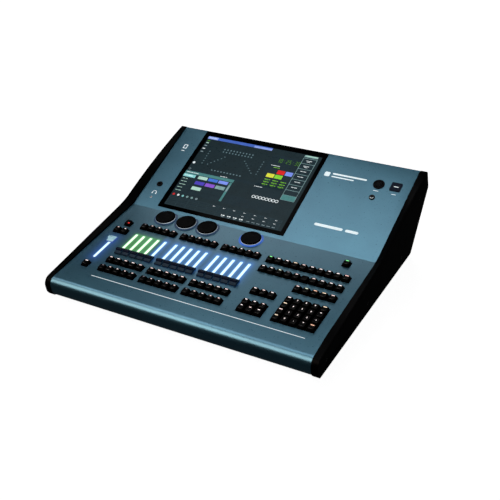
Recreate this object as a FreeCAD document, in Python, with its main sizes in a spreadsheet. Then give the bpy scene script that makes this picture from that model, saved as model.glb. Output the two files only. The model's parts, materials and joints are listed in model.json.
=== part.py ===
import FreeCAD, Part
import math
import os

# Lighting control desk: a sloping control panel with sixteen faders, four wheels and banks of keys, a
# tilted panel with a touch display behind it, two end cheeks, a bottom tray and a rear panel.
# Desk axes: X to the right along the panel, Y away from the operator, Z up. The origin is at the middle of
# the desk's footprint, at the underside of its feet. Lengths are in millimetres, angles in degrees.
# "u" runs along the panel from the left cheek, "v" up the lower panel from its front bend and "w" up the
# screen panel from the crease.

SIZES = [
    # desk and sheet metal
    ("panel_width", 608.6), ("lower_length", 291.5), ("screen_length", 264.8), ("sheet", 2.0),
    ("lower_slope", 5.1), ("screen_slope", 20.66), ("bend_back", -267.7), ("bend_height", 47.0),
    ("body_depth_below_bend", 44.0), ("pan_sheet", 1.5), ("nose_radius", 17.0), ("nose_drop", 9.0),
    ("nose_under_radius", 22.0), ("screen_lip", 10.0),
    # cheeks
    ("cheek_thickness", 14.5), ("cheek_proud", 1.0), ("cheek_rim", 4.0),
    ("screw_head_radius", 3.6), ("screw_head_height", 2.6), ("screw_radius", 2.0), ("screw_length", 20.0),
    # display
    ("glass_left", 63.0), ("glass_bottom", 10.1), ("glass_width", 327.4), ("glass_height", 251.9),
    ("glass_thickness", 1.2), ("glass_corner", 3.0), ("active_left", 76.4), ("active_bottom", 19.9),
    ("active_width", 304.3), ("active_height", 226.6), ("module_border", 11.0), ("module_depth", 12.0),
    ("window_gap", 3.0),
    # keys
    ("key_pitch", 19.05), ("key_row_pitch", 18.6), ("key_base", 17.8), ("key_top_width", 12.6),
    ("key_top_depth", 13.4), ("key_height", 6.3), ("key_skirt", 1.5), ("key_gap", 0.6),
    ("key_stem_radius", 2.0), ("key_stem_length", 5.5), ("key_dish", 0.5),
    # faders
    ("fader_pitch", 19.2), ("bank_pitch", 105.2), ("first_fader_left", 82.3), ("slot_length", 74.0),
    ("slot_width", 5.6), ("playback_slot_front", 118.0), ("master_left", 39.4), ("master_slot_front", 87.5),
    ("fader_travel", 60.0), ("cap_width", 17.2), ("cap_length", 20.0), ("cap_height", 8.8),
    ("cap_skirt", 2.6), ("cap_ridge", 4.6), ("cap_gap", 0.5), ("stem_width", 1.2), ("stem_length", 6.0),
    ("stem_depth", 9.0), ("track_width", 12.0), ("track_length", 84.0), ("track_top", 5.2),
    ("slit_width", 2.4), ("slit_length", 69.0), ("guide_flange", 9.0), ("fit_gap", 0.3),
    # wheels
    ("wheel_radius", 22.8), ("wheel_top", 6.0), ("wheel_underside", 1.2), ("wheel_hub_radius", 6.5),
    ("ring_radius", 27.5), ("ring_neck_radius", 20.0), ("ring_bore", 8.0), ("ring_top", 0.7), ("shaft_radius", 3.0),
    ("dimple_radius", 6.5), ("dimple_offset", 12.5), ("wheel_centre_back", 268.5),
    # boards, sockets and feet
    ("board_depth", 16.0), ("board_thickness", 1.6), ("switch_top", 5.6), ("switch_bore", 2.6),
    ("foot_radius", 9.0), ("foot_height", 3.0), ("jack_bore", 3.25), ("mini_jack_bore", 1.85),
    ("jack_depth", 32.0), ("button_radius", 6.5), ("button_hole_radius", 7.0),
    ("lamp_radius", 13.0), ("usb_flange", 24.0),
]

doc = FreeCAD.newDocument("LightingDesk")
V = FreeCAD.Vector
X_AXIS = V(1, 0, 0)
sheet = doc.addObject("Spreadsheet::Sheet", "Sizes")
for row, (alias, amount) in enumerate(SIZES, start=1):
    sheet.set(f"A{row}", alias)
    sheet.set(f"B{row}", str(amount))
    sheet.setAlias(f"B{row}", alias)
doc.recompute()


def size(expression):
    """The value of an expression in the sheet's names, such as "key_base + 2 * key_gap"."""
    return float(sheet.evalExpression(expression))


def on_sheet(expression):
    """The same expression as another object writes it, with each name looked up in the sheet."""
    words = expression.split()
    names = {alias for alias, amount in SIZES}
    return " ".join(f"Sizes.{word}" if word in names else word for word in words)


def bind(thing, prop, expression):
    thing.setExpression(prop, on_sheet(expression))


# ---- frames of the two panels ------------------------------------------------------------------------

HALF = size("panel_width") / 2
LOWER = FreeCAD.Placement(V(-HALF, size("bend_back"), size("bend_height")),
                          FreeCAD.Rotation(X_AXIS, size("lower_slope")))
FOLD = FreeCAD.Placement(V(0, size("lower_length"), 0),
                         FreeCAD.Rotation(X_AXIS, size("screen_slope - lower_slope")))
SCREEN = LOWER * FOLD


def shifted(frame, u, v, depth=0.0):
    return frame * FreeCAD.Placement(V(u, v, depth), FreeCAD.Rotation())


# ---- drawing helpers ---------------------------------------------------------------------------------

parts = []


def new_body(label, frame=None):
    body = doc.addObject("PartDesign::Body", label)
    body.Label = label
    body.AllowCompound = True
    if frame is not None:
        body.Placement = frame
    parts.append(body)
    return body


def new_sketch(body, role, offset=None):
    plane = [item for item in body.Origin.OriginFeatures if item.Role == role][0]
    sketch = body.newObject("Sketcher::SketchObject", body.Name + "_sketch")
    sketch.AttachmentSupport = (plane, [""])
    sketch.MapMode = "FlatFace"
    if offset is not None:
        sketch.AttachmentOffset = offset
    return sketch


def lift(amount):
    return FreeCAD.Placement(V(0, 0, amount), FreeCAD.Rotation())


def draw_outline(sketch, start, steps):
    """A closed outline: each step is an end point, or a (point on the arc, end point) pair for an arc."""
    here = V(*start, 0)
    for step in steps:
        if isinstance(step[0], tuple):
            through, end = V(*step[0], 0), V(*step[1], 0)
            sketch.addGeometry(Part.Arc(here, through, end), False)
        else:
            end = V(*step, 0)
            sketch.addGeometry(Part.LineSegment(here, end), False)
        here = end
    first = V(*start, 0)
    if (here - first).Length > 1e-6:
        sketch.addGeometry(Part.LineSegment(here, first), False)


def draw_rectangle(sketch, centre_x, centre_y, width, depth, radius=0.0):
    """A rectangle, with rounded corners where a radius is given."""
    x, y = width / 2, depth / 2
    corners = [(x, -y), (x, y), (-x, y), (-x, -y)]
    if radius == 0.0:
        points = [(centre_x + a, centre_y + b) for a, b in corners]
        draw_outline(sketch, points[0], points[1:])
        return
    reach = radius * (1 - math.sqrt(0.5))
    steps = []
    for index, (a, b) in enumerate(corners):
        sign_a, sign_b = math.copysign(1, a), math.copysign(1, b)
        along_x = (centre_x + a - sign_a * radius, centre_y + b)
        along_y = (centre_x + a, centre_y + b - sign_b * radius)
        middle = (centre_x + a - sign_a * reach, centre_y + b - sign_b * reach)
        enter, leave = (along_x, along_y) if index % 2 == 0 else (along_y, along_x)
        steps += [enter, (middle, leave)]
    draw_outline(sketch, steps[-1][1], steps)


def draw_circle(sketch, centre_x, centre_y, radius):
    sketch.addGeometry(Part.Circle(V(centre_x, centre_y, 0), V(0, 0, 1), radius), False)


def draw_slot(sketch, centre_x, front, width, length):
    """A slot with round ends that starts at front and runs along the sketch's second axis."""
    r = width / 2
    low, high = front + r, front + length - r
    draw_outline(sketch, (centre_x + r, low), [
        (centre_x + r, high), ((centre_x, high + r), (centre_x - r, high)),
        (centre_x - r, low), ((centre_x, low - r), (centre_x + r, low))])


def settle(*items):
    """Compute these objects alone, so that a later feature can read their shape."""
    for item in items:
        item.recompute()


def pad(body, sketch, length, midplane=False, reverse=False):
    feature = body.newObject("PartDesign::Pad", body.Name + "_pad")
    feature.Profile = sketch
    bind(feature, "Length", length)
    feature.Midplane = midplane
    feature.Reversed = reverse
    return feature


def pocket(body, sketch, length, midplane=False, reverse=False):
    feature = body.newObject("PartDesign::Pocket", body.Name + "_pocket")
    feature.Profile = sketch
    bind(feature, "Length", length)
    feature.Midplane = midplane
    feature.Reversed = reverse
    return feature


def pattern(body, features, sketch, columns, spacing, rows=1, row_spacing="0", second_axis="V_Axis"):
    """Repeat features along the sketch's first axis and, for more than one row, along second_axis."""
    feature = body.newObject("PartDesign::LinearPattern", body.Name + "_pattern")
    feature.Originals = features
    feature.Direction = (sketch, ["H_Axis"])
    feature.Mode = "Spacing"
    bind(feature, "Offset", spacing)
    feature.Occurrences = columns
    if rows > 1:
        feature.Direction2 = (sketch, [second_axis])
        feature.Mode2 = "Spacing"
        bind(feature, "Offset2", row_spacing)
        feature.Occurrences2 = rows
        feature.Spacings2 = [-1.0] * (rows - 1)   # minus one: this step uses the common offset
    body.Tip = feature
    return feature


def block(body, left, front, bottom, width, depth, height, radius=0.0):
    """A plain block given by its left front lower corner, as a pad in the body's own frame."""
    sketch = new_sketch(body, "XY_Plane", lift(bottom))
    draw_rectangle(sketch, left + width / 2, front + depth / 2, width, depth, radius)
    return pad(body, sketch, str(height))


def drill(body, centre_x, centre_y, mouth, radius, depth):
    """A round hole that goes down from the height of its mouth."""
    sketch = new_sketch(body, "XY_Plane", lift(mouth))
    draw_circle(sketch, centre_x, centre_y, radius)
    return pocket(body, sketch, str(depth))


# ---- layout of the lower panel -----------------------------------------------------------------------

FADERS_PER_BANK = 5
BANKS = 3
KEY_COLUMN_RIGHT = 573.9
RIGHT_ROW_LOW = 60.5


def fader_left(index):
    bank_gap = size("bank_pitch") - FADERS_PER_BANK * size("fader_pitch")
    return size("first_fader_left") + index * size("fader_pitch") + (index // FADERS_PER_BANK) * bank_gap


def bank_keys_left(bank):
    """The first key of a five-key row that is centred on a bank of faders."""
    centre = size("first_fader_left") + 2 * size("fader_pitch") + bank * size("bank_pitch")
    return centre - 2 * size("key_pitch")


def right_column(count_from_right):
    return KEY_COLUMN_RIGHT - count_from_right * size("key_pitch")


# name, first key's u and v, columns, rows
KEY_BANKS = []
for bank in range(BANKS):
    for row_name, row_back in (("upper", 220.0), ("middle", 91.0), ("lower", 61.0)):
        KEY_BANKS.append((f"{row_name}_keys_{bank + 1}", bank_keys_left(bank), row_back, 5, 1))
KEY_BANKS += [
    ("master_red_key", 39.4, 219.0, 1, 1),
    ("master_pair_keys", 29.8, 189.2, 2, 1),
    ("master_single_key", 38.9, 61.0, 1, 1),
    ("ten_keys_upper", right_column(9), 219.0, 10, 1),
    ("ten_keys_lower", right_column(9), 186.0, 10, 1),
    ("five_keys", right_column(4), 153.0, 5, 1),
    ("three_keys", right_column(8), 116.3, 3, 1),
    ("six_keys", right_column(8), RIGHT_ROW_LOW, 3, 2),
    ("keypad_keys", right_column(4), RIGHT_ROW_LOW, 5, 4),
    ("green_key", right_column(1), 264.3, 1, 1),
]

WHEEL_LEFT = [107.8, 163.3, 218.8, 329.8]

# ---- places on the screen panel ----------------------------------------------------------------------

JACK = (32.5, 73.0)
MINI_JACK = (32.5, 31.0)
LAMP = (535.0, 202.5)
USB = (574.0, 204.0)
BUTTON = (534.0, 163.5)


# ---- painted panels ----------------------------------------------------------------------------------

def make_lower_panel():
    """One folded sheet: the slope that carries the controls, the rolled nose and the turned-under front."""
    body = new_body("lower_panel", LOWER)
    t, back = size("sheet"), size("lower_length")
    r, drop, under = size("nose_radius"), size("nose_drop"), size("nose_under_radius")
    half_turn = math.sqrt(0.5)

    def under_point(inset, turn):
        radius = under - inset
        return (-r + under - radius * math.cos(turn), -r - drop - radius * math.sin(turn))

    sketch = new_sketch(body, "YZ_Plane")
    draw_outline(sketch, (back, 0), [
        (0, 0),
        ((-r * half_turn, -r + r * half_turn), (-r, -r)),
        (-r, -r - drop),
        (under_point(0, math.pi / 8), under_point(0, math.pi / 4)),
        under_point(t, math.pi / 4),
        (under_point(t, math.pi / 8), under_point(t, 0)),
        (-r + t, -r),
        ((-(r - t) * half_turn, -r + (r - t) * half_turn), (0, -t)),
        (back, -t)])
    pad(body, sketch, "panel_width")

    keys = new_sketch(body, "XY_Plane")
    opening = size("key_base") + 2 * size("key_gap")
    for name, left, front, columns, rows in KEY_BANKS:
        spread_x = (columns - 1) * size("key_pitch")
        spread_y = (rows - 1) * size("key_row_pitch")
        draw_rectangle(keys, left + spread_x / 2, front + spread_y / 2,
                       opening + spread_x, opening + spread_y, 1.0)
    pocket(body, keys, "sheet + 1")

    round_cuts = new_sketch(body, "XY_Plane")
    for index in range(BANKS * FADERS_PER_BANK):
        draw_slot(round_cuts, fader_left(index), size("playback_slot_front"),
                  size("slot_width"), size("slot_length"))
    draw_slot(round_cuts, size("master_left"), size("master_slot_front"),
              size("slot_width"), size("slot_length"))
    for left in WHEEL_LEFT:
        draw_circle(round_cuts, left, size("wheel_centre_back"), size("ring_neck_radius + fit_gap"))
    pocket(body, round_cuts, "sheet + 1")


def make_screen_panel():
    """The tilted sheet round the display, with its rear lip and a guide tube for the power button."""
    body = new_body("screen_panel", SCREEN)
    t, top, lip, bend = size("sheet"), size("screen_length"), size("screen_lip"), 3.0
    outer = bend * (1 - math.sqrt(0.5))
    inner_bend = bend - t
    inner = t + inner_bend * (1 - math.sqrt(0.5))
    profile = new_sketch(body, "YZ_Plane")
    draw_outline(profile, (0, 0), [
        (0, -t), (top - bend, -t), ((top - inner, -inner), (top - t, -bend)),
        (top - t, -lip), (top, -lip), (top, -bend), ((top - outer, -outer), (top - bend, 0))])
    pad(body, profile, "panel_width")

    tube = new_sketch(body, "XY_Plane", lift(-t))
    draw_circle(tube, *BUTTON, size("button_hole_radius + 2"))
    pad(body, tube, "8", reverse=True)

    cuts = new_sketch(body, "XY_Plane")
    gap = size("window_gap")
    draw_rectangle(cuts, size("active_left + active_width / 2"), size("active_bottom + active_height / 2"),
                   size("active_width") + 2 * gap, size("active_height") + 2 * gap, 2.0)
    draw_circle(cuts, *JACK, 6.0)
    draw_circle(cuts, *MINI_JACK, 2.8)
    draw_circle(cuts, *LAMP, 12.0)
    draw_rectangle(cuts, *USB, 20.6, 20.6, 2.0)
    draw_circle(cuts, *BUTTON, size("button_hole_radius"))
    pocket(body, cuts, "sheet + 10")


# ---- cheeks, tray and rear panel ---------------------------------------------------------------------

def on_lower(v, height):
    """A point of the lower panel's own plane as (y, z) measured from the bend."""
    point = LOWER.Rotation.multVec(V(0, v, height))
    return (point.y, point.z)


def on_screen(w, height):
    point = SCREEN.Rotation.multVec(V(0, w, height))
    crease = on_lower(size("lower_length"), 0)
    return (crease[0] + point.y, crease[1] + point.z)


def cheek_outline(top_edge):
    """The cheek's side view. Both faces share it, apart from the top edge that each one has."""
    proud = size("cheek_proud")
    r = size("nose_radius") + proud
    straight = size("nose_radius + nose_drop")
    base = -size("body_depth_below_bend")
    nose = [
        (on_lower(-16.4, -35.0), on_lower(-r, -straight)),
        on_lower(-r, -r),
        (on_lower(-r * math.sqrt(0.5), -r + r * math.sqrt(0.5)), on_lower(0, 0)),
    ]
    rear = [
        ((542.6, 114.0), (544.0, 108.0)),
        (551.6, 79.0),
        ((551.4, 74.5), (548.6, 70.5)),
        (460.0, -39.5),
        ((456.5, -42.7), (451.0, base)),
    ]
    return (-7.4, base), nose + top_edge + rear


def draw_cheek(body, side, distance, top_edge):
    start, steps = cheek_outline(top_edge)
    sketch = new_sketch(body, "YZ_Plane", lift(side * distance))
    draw_outline(sketch, start, steps)
    return sketch


def make_cheek(label, side):
    """A moulded cheek. Its inner rim follows the panels, and its outer edge bows up behind the crease."""
    frame = FreeCAD.Placement(V(0, size("bend_back"), size("bend_height")), FreeCAD.Rotation())
    body = new_body(label, frame)
    rim, lower, upper = size("cheek_rim"), size("lower_length"), size("screen_length")
    inner_top = [
        on_lower(45.0, rim),
        on_lower(lower - 25.0, rim),
        (on_lower(lower - 0.7, rim + 1.7), on_screen(25.0, rim)),
        (on_screen(140.0, rim + 0.2), on_screen(upper - 8.0, rim)),
        (538.6, 118.6),
    ]
    outer_top = [
        on_lower(45.0, 1.8),
        (243.0, 33.0),
        ((268.0, 37.0), (290.0, 42.3)),
        ((409.0, 84.3), (528.0, 116.4)),
        (538.6, 118.6),
    ]
    inner = draw_cheek(body, side, HALF, inner_top)
    outer = draw_cheek(body, side, HALF + size("cheek_thickness"), outer_top)
    loft = body.newObject("PartDesign::AdditiveLoft", body.Name + "_loft")
    loft.Profile = inner
    loft.Sections = [outer]
    loft.Ruled = True
    outer_x = side * (HALF + size("cheek_thickness"))

    heads = new_sketch(body, "YZ_Plane", lift(outer_x))
    holes = new_sketch(body, "YZ_Plane", lift(outer_x))
    for y, z in CHEEK_SCREWS:
        draw_circle(heads, y, z, size("screw_head_radius + 0.2"))
        draw_circle(holes, y, z, size("screw_radius + 0.2"))
    pocket(body, heads, "screw_head_height + 0.3", reverse=side < 0)
    pocket(body, holes, "cheek_thickness + 1", reverse=side < 0)


CHEEK_SCREWS = [(22.0, -22.0), (215.0, -22.0), (400.0, -22.0), (500.0, 72.0)]


def make_cheek_screws():
    frame = FreeCAD.Placement(V(0, size("bend_back"), size("bend_height")), FreeCAD.Rotation())
    body = new_body("cheek_screws", frame)
    for side in (-1, 1):
        seat = side * (HALF + size("cheek_thickness") - size("screw_head_height + 0.3"))
        heads = new_sketch(body, "YZ_Plane", lift(seat))
        shanks = new_sketch(body, "YZ_Plane", lift(seat))
        drives = new_sketch(body, "YZ_Plane", lift(seat + side * size("screw_head_height")))
        for y, z in CHEEK_SCREWS:
            draw_circle(heads, y, z, size("screw_head_radius"))
            draw_circle(shanks, y, z, size("screw_radius"))
            draw_circle(drives, y, z, size("screw_head_radius") * 0.5)
        pad(body, heads, "screw_head_height", reverse=side < 0)
        pad(body, shanks, "screw_length", reverse=side > 0)
        pocket(body, drives, "screw_head_height * 0.6", reverse=side < 0)


def make_base_pan():
    """The bottom tray: a plate with a turned-up front lip and two rows of cooling slots."""
    frame = FreeCAD.Placement(V(0, size("bend_back"), size("bend_height")), FreeCAD.Rotation())
    body = new_body("base_pan", frame)
    base, t = -size("body_depth_below_bend"), size("pan_sheet")
    front, back, lip = -4.0, 449.0, 14.0
    profile = new_sketch(body, "YZ_Plane")
    draw_outline(profile, (front, base), [
        (back, base), (back, base + t), (front + t, base + t), (front + t, base + lip), (front, base + lip)])
    pad(body, profile, "panel_width", midplane=True)
    slots = new_sketch(body, "XY_Plane", lift(base + t))
    draw_slot(slots, -220.0, 60.0, 4.0, 60.0)
    cut = pocket(body, slots, "pan_sheet + 1")
    pattern(body, [cut], slots, 23, "20", rows=2, row_spacing="230")


REAR_LOW = (457.0, -41.0)
REAR_KNEE = (548.6, 76.0)
REAR_TOP = (538.6, 110.5)
REAR_TILT = math.degrees(math.atan2(REAR_KNEE[1] - REAR_LOW[1], REAR_KNEE[0] - REAR_LOW[0]))
# u along the rear panel from the middle of the desk, distance up its slope
OUTPUT_SOCKETS = [(-180.0, 78.0), (-130.0, 78.0)]
MAINS_INLET = (170.0, 78.0)


def on_rear(along, up):
    """A frame on the outer face of the sloping rear panel: its Z points out of the desk."""
    tilt = math.radians(REAR_TILT)
    y = size("bend_back") + REAR_LOW[0] + up * math.cos(tilt)
    z = size("bend_height") + REAR_LOW[1] + up * math.sin(tilt)
    turn = FreeCAD.Rotation(V(-1, 0, 0), V(0, math.cos(tilt), math.sin(tilt)),
                            V(0, math.sin(tilt), -math.cos(tilt)), "XYZ")
    return FreeCAD.Placement(V(along, y, z), turn)


def make_rear_panel():
    """A folded sheet: a sloping lower part with the sockets and a steep upper part behind the display."""
    frame = FreeCAD.Placement(V(0, size("bend_back"), size("bend_height")), FreeCAD.Rotation())
    body = new_body("rear_panel", frame)
    t = size("pan_sheet")
    base = -size("body_depth_below_bend")
    profile = new_sketch(body, "YZ_Plane")
    knee_in = (REAR_KNEE[0] - 1.2 * t, REAR_KNEE[1] - 0.05 * t)
    draw_outline(profile, (450.0, base), [
        (453.5, base), REAR_LOW, REAR_KNEE, REAR_TOP, (REAR_TOP[0] - t, REAR_TOP[1] - 0.3),
        knee_in, (REAR_LOW[0] - 1.25 * t, REAR_LOW[1] + 0.3 * t), (450.0, base + t)])
    pad(body, profile, "panel_width", midplane=True)
    for place, width, height in [(place, 22.0, 22.0) for place in OUTPUT_SOCKETS] + [(MAINS_INLET, 28.4, 22.4)]:
        offset = frame.inverse() * on_rear(*place)
        cut = new_sketch(body, "XY_Plane", offset)
        draw_rectangle(cut, 0, 0, width, height, 3.0)
        pocket(body, cut, "6", midplane=True)


# ---- display -----------------------------------------------------------------------------------------

def make_touch_glass():
    body = new_body("touch_glass", shifted(SCREEN, size("glass_left"), size("glass_bottom")))
    sketch = new_sketch(body, "XY_Plane")
    draw_rectangle(sketch, size("glass_width / 2"), size("glass_height / 2"),
                   size("glass_width"), size("glass_height"), size("glass_corner"))
    pad(body, sketch, "glass_thickness")


def make_display_module():
    """The display behind the panel, with a step that reaches through the window up to the glass."""
    left, bottom = size("active_left"), size("active_bottom")
    body = new_body("display_module", shifted(SCREEN, left, bottom))
    border = size("module_border")
    sheet_back = -size("sheet")
    block(body, -border, -border, sheet_back - size("module_depth"),
          size("active_width") + 2 * border, size("active_height") + 2 * border, size("module_depth"), 2.0)
    block(body, 0, 0, sheet_back, size("active_width"), size("active_height"), size("sheet"))


# ---- keys --------------------------------------------------------------------------------------------

def make_key_bank(label, left, front, columns, rows):
    """A group of keycaps. Each cap tapers to a dished top and has a round stem under it."""
    body = new_body(label, shifted(LOWER, left, front))
    skirt = -size("key_skirt")
    base = new_sketch(body, "XY_Plane", lift(skirt))
    draw_rectangle(base, 0, 0, size("key_base"), size("key_base"), 1.2)
    top = new_sketch(body, "XY_Plane", lift(size("key_height")))
    draw_rectangle(top, 0, 0.6, size("key_top_width"), size("key_top_depth"), 2.2)
    cap = body.newObject("PartDesign::AdditiveLoft", body.Name + "_cap")
    cap.Profile = base
    cap.Sections = [top]
    cap.Ruled = True
    stem_sketch = new_sketch(body, "XY_Plane", lift(skirt))
    draw_circle(stem_sketch, 0, 0, size("key_stem_radius"))
    stem = pad(body, stem_sketch, "key_stem_length", reverse=True)
    dish_sketch = new_sketch(body, "XZ_Plane")
    half, high = size("key_top_width") / 2 + 0.3, size("key_height")
    draw_outline(dish_sketch, (-half, high + 0.1), [
        ((0, high - size("key_dish")), (half, high + 0.1)), (half, high + 1), (-half, high + 1)])
    dish = pocket(body, dish_sketch, "key_base", midplane=True)
    if columns * rows > 1:
        pattern(body, [cap, stem, dish], base, columns, "key_pitch", rows, "key_row_pitch")


# ---- faders ------------------------------------------------------------------------------------------

def slot_centre(front):
    return front + size("slot_length") / 2


def make_fader_cap(label, left, back):
    """A cap with a raised grip ridge across it, a pointer groove and a blade that reaches the track."""
    body = new_body(label, shifted(LOWER, left, back))
    half, gap = size("cap_length") / 2, size("cap_gap")
    skirt, high, ridge = size("cap_skirt") + gap, size("cap_height"), size("cap_ridge") / 2
    profile = new_sketch(body, "YZ_Plane")
    draw_outline(profile, (-half, gap), [
        (half, gap), (half, skirt), ((ridge + 2.6, skirt + 1.6), (ridge, high)),
        (-ridge, high), ((-ridge - 2.6, skirt + 1.6), (-half, skirt))])
    cap = pad(body, profile, "cap_width", midplane=True)
    settle(profile, cap)
    ends = [f"Face{i + 1}" for i, face in enumerate(cap.Shape.Faces) if abs(face.normalAt(0, 0).x) > 0.99]
    soften = body.newObject("PartDesign::Chamfer", body.Name + "_soften")
    soften.Base = (cap, ends)
    soften.Size = 0.7
    groove = new_sketch(body, "YZ_Plane")
    draw_rectangle(groove, 0, high, 0.9, 0.8)
    pocket(body, groove, "cap_width", midplane=True)
    blade = new_sketch(body, "XY_Plane", lift(gap))
    draw_rectangle(blade, 0, 0, size("stem_width"), size("stem_length"))
    pad(body, blade, "stem_depth + cap_gap", reverse=True)


def make_fader_tracks():
    """Sixteen closed tracks on the control board, each slit along its top for the cap's blade."""
    body = new_body("fader_tracks", LOWER)
    height = size("board_depth") - size("track_top")
    for first, columns, front in FADER_GROUPS:
        centre = slot_centre(front)
        shell = new_sketch(body, "XY_Plane", lift(-size("board_depth")))
        draw_rectangle(shell, first, centre, size("track_width"), size("track_length"))
        shell_pad = pad(body, shell, str(height))
        slit = new_sketch(body, "XY_Plane", lift(-size("track_top")))
        draw_rectangle(slit, first, centre, size("slit_width"), size("slit_length"))
        slit_cut = pocket(body, slit, str(height - 2))
        if columns > 1:
            pattern(body, [shell_pad, slit_cut], shell, columns, "fader_pitch",
                    BANKS, "bank_pitch", "H_Axis")


def make_fader_light_guides():
    """Clear strips that fill each panel slot with light, each slit for the cap's blade."""
    body = new_body("fader_light_guides", LOWER)
    gap = size("fit_gap")
    flange_top = -size("sheet") - 0.2
    flange_bottom = -size("track_top") + 0.2
    for first, columns, front in FADER_GROUPS:
        centre = slot_centre(front)
        flange = new_sketch(body, "XY_Plane", lift(flange_bottom))
        draw_rectangle(flange, first, centre, size("guide_flange"), size("slot_length") + 6)
        flange_pad = pad(body, flange, str(flange_top - flange_bottom))
        rib = new_sketch(body, "XY_Plane", lift(flange_top))
        draw_slot(rib, first, front + gap, size("slot_width") - 2 * gap, size("slot_length") - 2 * gap)
        rib_pad = pad(body, rib, "1.6")
        slit = new_sketch(body, "XY_Plane")
        draw_rectangle(slit, first, centre, size("slit_width"), size("slit_length"))
        slit_cut = pocket(body, slit, "board_depth")
        if columns > 1:
            pattern(body, [flange_pad, rib_pad, slit_cut], flange, columns, "fader_pitch",
                    BANKS, "bank_pitch", "H_Axis")


FADER_GROUPS = [
    (size("first_fader_left"), FADERS_PER_BANK, size("playback_slot_front")),
    (size("master_left"), 1, size("master_slot_front")),
]


# ---- wheels ------------------------------------------------------------------------------------------

def revolve(body, start, steps):
    """A turned shape: the outline holds (radius, height) points and turns about the body's Z."""
    sketch = new_sketch(body, "XZ_Plane")
    draw_outline(sketch, start, steps)
    feature = body.newObject("PartDesign::Revolution", body.Name + "_turn")
    feature.Profile = sketch
    feature.ReferenceAxis = (sketch, ["V_Axis"])
    feature.Angle = 360
    return feature


def make_wheel(label, left):
    """A flat wheel with a finger dimple, in one piece with its hub and the encoder's shaft."""
    body = new_body(label, shifted(LOWER, left, size("wheel_centre_back")))
    r, top, under = size("wheel_radius"), size("wheel_top"), size("wheel_underside")
    hub, shaft = size("wheel_hub_radius"), size("shaft_radius")
    rim = 1.0
    revolve(body, (0, -12.0), [
        (shaft, -12.0), (shaft, -4.6), (hub, -4.6), (hub, under), (r, under), (r, top - rim),
        ((r - rim * (1 - math.sqrt(0.5)), top - rim * (1 - math.sqrt(0.5))), (r - rim, top)), (0, top)])
    drill(body, 0, size("dimple_offset"), top, size("dimple_radius"), 1.0)


def make_light_rings():
    """Four clear rings under the wheels: a flange on the panel, flat at the crease, and a neck below it."""
    body = new_body("wheel_light_rings", LOWER)
    back, r = size("wheel_centre_back"), size("ring_radius")
    flat = size("lower_length") - 0.3 - back
    half = math.sqrt(r * r - flat * flat)
    flanges = new_sketch(body, "XY_Plane")
    necks = new_sketch(body, "XY_Plane")
    bores = new_sketch(body, "XY_Plane", lift(size("ring_top")))
    for left in WHEEL_LEFT:
        draw_outline(flanges, (left + half, back + flat), [
            (left - half, back + flat), ((left, back - r), (left + half, back + flat))])
        draw_circle(necks, left, back, size("ring_neck_radius"))
        draw_circle(bores, left, back, size("ring_bore"))
    pad(body, flanges, "ring_top")
    pad(body, necks, "sheet + 1.5", reverse=True)
    pocket(body, bores, "12")


# ---- boards and power supply -------------------------------------------------------------------------

def make_control_board():
    """The board under the lower panel, with the key switches and the wheels' encoders soldered to it."""
    body = new_body("control_board", LOWER)
    top = -size("board_depth")
    block(body, 16.0, 44.0, top - size("board_thickness"), 577.0, 240.0, size("board_thickness"))
    switches = new_sketch(body, "XY_Plane", lift(top))
    bores = new_sketch(body, "XY_Plane", lift(-size("switch_top")))
    for name, left, front, columns, rows in KEY_BANKS:
        spread_x = (columns - 1) * size("key_pitch")
        spread_y = (rows - 1) * size("key_row_pitch")
        draw_rectangle(switches, left + spread_x / 2, front + spread_y / 2, spread_x + 14, spread_y + 14, 1.0)
        for column in range(columns):
            for line in range(rows):
                draw_circle(bores, left + column * size("key_pitch"), front + line * size("key_row_pitch"),
                            size("switch_bore"))
    pad(body, switches, "board_depth - switch_top")
    pocket(body, bores, "8")
    encoders = new_sketch(body, "XY_Plane", lift(top))
    encoder_bores = new_sketch(body, "XY_Plane", lift(-8.6))
    for left in WHEEL_LEFT:
        draw_rectangle(encoders, left, size("wheel_centre_back"), 16.0, 16.0, 1.0)
        draw_circle(encoder_bores, left, size("wheel_centre_back"), size("shaft_radius") + 0.4)
    pad(body, encoders, "board_depth - 8.6")
    pocket(body, encoder_bores, "5")


def make_main_board():
    """The processor board on pillars above the tray, with its heat sink and plugs as plain blocks."""
    floor = size("bend_height - body_depth_below_bend + pan_sheet")
    body = new_body("main_board", FreeCAD.Placement(V(0, size("bend_back"), floor), FreeCAD.Rotation()))
    pillar, board = 8.0, size("board_thickness")
    legs = new_sketch(body, "XY_Plane")
    for x in (-110.0, 110.0):
        for y in (210.0, 310.0):
            draw_circle(legs, x, y, 3.0)
    pad(body, legs, str(pillar))
    block(body, -120.0, 200.0, pillar, 240.0, 120.0, board)
    block(body, -50.0, 235.0, pillar + board, 60.0, 50.0, 14.0)
    fins = new_sketch(body, "XY_Plane", lift(pillar + board + 4.0))
    draw_rectangle(fins, -46.0, 260.0, 3.0, 52.0)
    fin_cut = pocket(body, fins, "10", reverse=True)
    pattern(body, [fin_cut], fins, 9, "6.5")
    block(body, 40.0, 300.0, pillar + board, 50.0, 12.0, 9.0)
    block(body, -110.0, 300.0, pillar + board, 40.0, 12.0, 9.0)


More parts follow.
